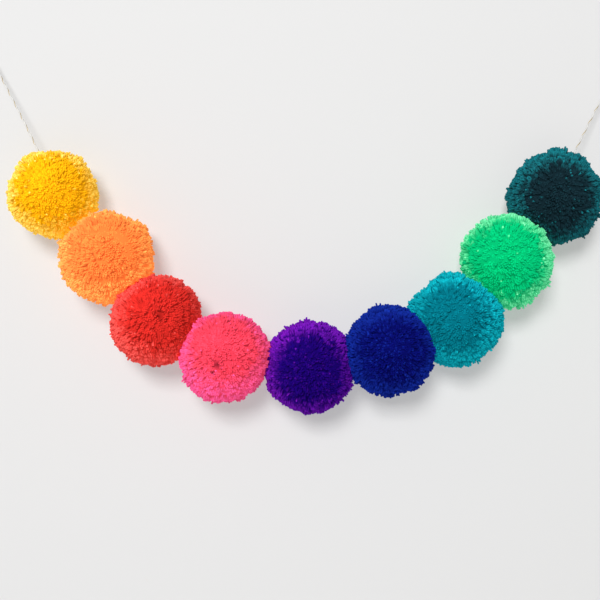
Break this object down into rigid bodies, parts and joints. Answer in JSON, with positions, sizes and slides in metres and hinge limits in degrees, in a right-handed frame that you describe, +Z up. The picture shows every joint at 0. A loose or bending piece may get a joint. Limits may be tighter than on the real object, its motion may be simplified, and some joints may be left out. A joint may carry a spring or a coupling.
{
  "type": "yarn pompom garland",
  "caption": "Rainbow garland of cut yarn pompoms threaded side by side on one thin twine that hangs in a swag from a knotted loop at each end.",
  "frame": {"origin": "where the left hanging loop bears on its hook", "axes": "+X level along the wall towards the right loop, +Y into the wall, +Z up"},
  "size_m": [0.4722, 0.0662, 0.2755],
  "materials": {
    "yarn_yellow": "cut acrylic yarn, matt with a faint sheen along its plies",
    "yarn_orange": "cut acrylic yarn, matt with a faint sheen along its plies",
    "yarn_red": "cut acrylic yarn, matt with a faint sheen along its plies",
    "yarn_pink": "cut acrylic yarn, matt with a faint sheen along its plies",
    "yarn_purple": "cut acrylic yarn, matt with a faint sheen along its plies",
    "yarn_blue": "cut acrylic yarn, matt with a faint sheen along its plies",
    "yarn_turquoise": "cut acrylic yarn, matt with a faint sheen along its plies",
    "yarn_green": "cut acrylic yarn, matt with a faint sheen along its plies",
    "yarn_teal": "cut acrylic yarn, matt with a faint sheen along its plies",
    "twine": "twisted white cotton with one gold ply, matt"
  },
  "bodies": {
    "root": {"pompom_yellow": "yarn_yellow", "pompom_orange": "yarn_orange", "pompom_red": "yarn_red", "pompom_pink": "yarn_pink", "pompom_purple": "yarn_purple", "pompom_blue": "yarn_blue", "pompom_turquoise": "yarn_turquoise", "pompom_green": "yarn_green", "pompom_teal": "yarn_teal", "twine": "twine", "loop_left": "twine", "loop_right": "twine"}
  },
  "joints": []
}
